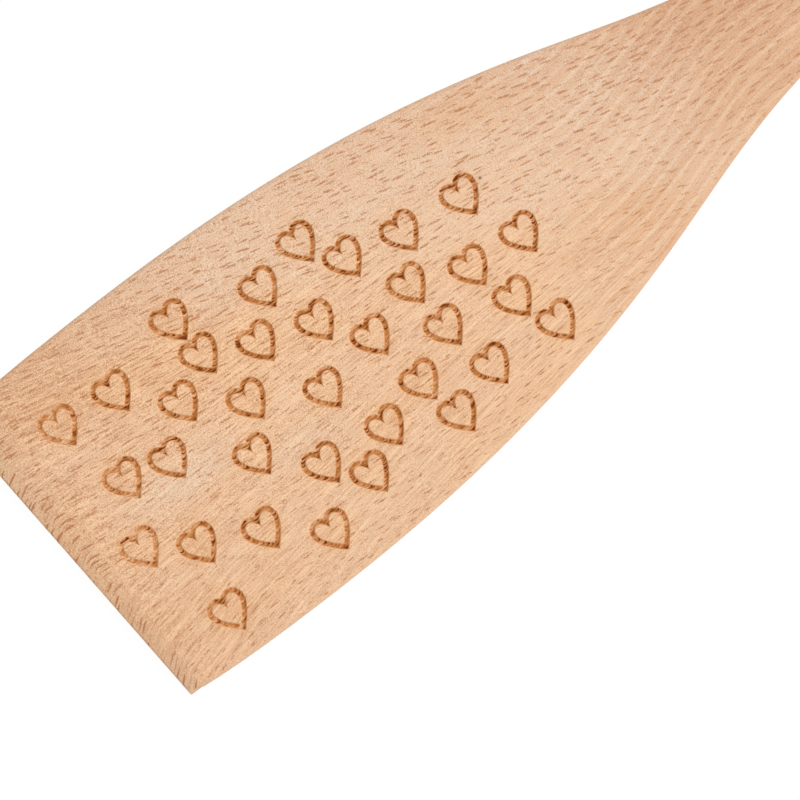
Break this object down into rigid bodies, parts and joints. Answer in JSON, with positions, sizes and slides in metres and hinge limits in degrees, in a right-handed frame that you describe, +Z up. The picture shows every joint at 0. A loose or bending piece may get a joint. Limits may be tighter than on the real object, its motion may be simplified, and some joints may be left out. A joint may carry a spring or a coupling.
{
  "type": "wooden spatula",
  "caption": "Flat beech kitchen spatula with a wide blade that thins to a softly bevelled, slightly slanting front edge, hollow shoulders, a slim neck and a round-ended handle, carved in one piece.",
  "frame": {"origin": "under the middle of the spatula's bounding box, on the surface that it lies on", "axes": "+X from the blade's front edge to the end of the handle, +Y across the blade, +Z up from the flat underside"},
  "size_m": [0.3, 0.06, 0.0075],
  "materials": {
    "beech": "sanded smooth, unvarnished"
  },
  "bodies": {
    "root": {"spatula": "beech"}
  },
  "joints": []
}
